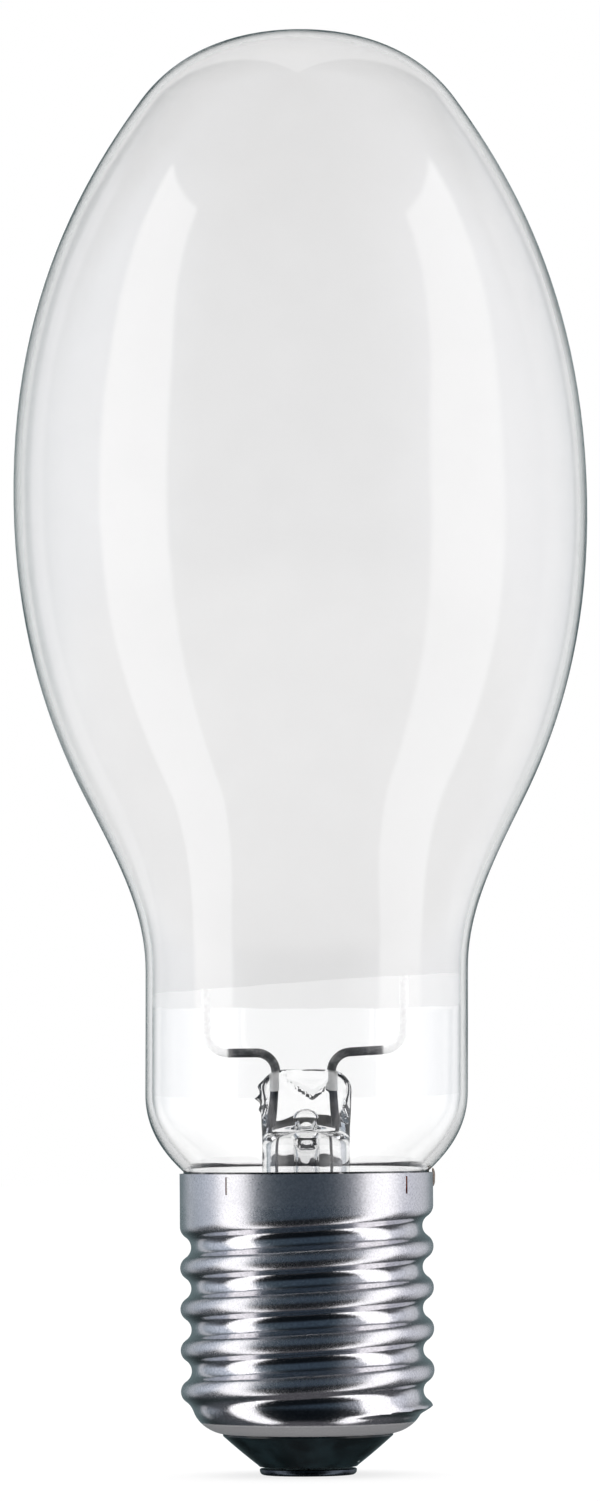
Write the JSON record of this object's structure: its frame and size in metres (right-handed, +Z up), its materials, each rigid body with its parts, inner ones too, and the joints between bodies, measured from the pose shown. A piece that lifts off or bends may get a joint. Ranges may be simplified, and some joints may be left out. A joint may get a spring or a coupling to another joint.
{
  "type": "metal halide lamp",
  "caption": "Elongated egg-shaped discharge lamp: white-coated glass bulb with a clear neck, visible stem and lead wires, on a large threaded metal cap with a black insulated base contact.",
  "frame": {"origin": "middle of the centre contact's end face, on the lamp's axis", "axes": "+Z up the lamp's axis from the cap to the crown, -Y the front, which shows the two lead wires side by side, +X the side where the cap's rim is soldered"},
  "size_m": [0.089, 0.089, 0.2239],
  "materials": {
    "clear_glass": "clear, glossy hard glass",
    "quartz": "clear fused quartz",
    "white_powder": "matt white powder coating seen through the glass",
    "nickel_plate": "nickel-plated brass sheet, semi-bright",
    "black_glass": "opaque black moulded glass",
    "dark_contact": "dulled contact plate",
    "soft_solder": "dull solder",
    "grey_wire": "drawn nickel and steel wire, satin",
    "dark_metal": "dark tungsten and molybdenum"
  },
  "bodies": {
    "root": {"outer_bulb": "clear_glass", "stem": "clear_glass", "exhaust_tube": "clear_glass", "diffuse_coating": "white_powder", "screw_shell": "nickel_plate", "contact_insulator": "black_glass", "centre_contact": "dark_contact", "contact_solder": "soft_solder", "rim_solder": "soft_solder", "left_seal_wire": "dark_metal", "right_seal_wire": "dark_metal", "rim_lead": "grey_wire", "centre_lead": "grey_wire", "long_rod": "grey_wire", "short_rod": "grey_wire", "left_crown_spring": "grey_wire", "right_crown_spring": "grey_wire", "arc_tube": "quartz", "upper_electrode": "dark_metal", "lower_electrode": "dark_metal", "upper_electrode_coil": "dark_metal", "lower_electrode_coil": "dark_metal", "upper_foil": "dark_metal", "lower_foil": "dark_metal", "upper_arc_link": "grey_wire", "lower_arc_link": "grey_wire", "upper_clamp": "grey_wire", "lower_clamp": "grey_wire", "getter": "dark_metal"}
  },
  "joints": []
}
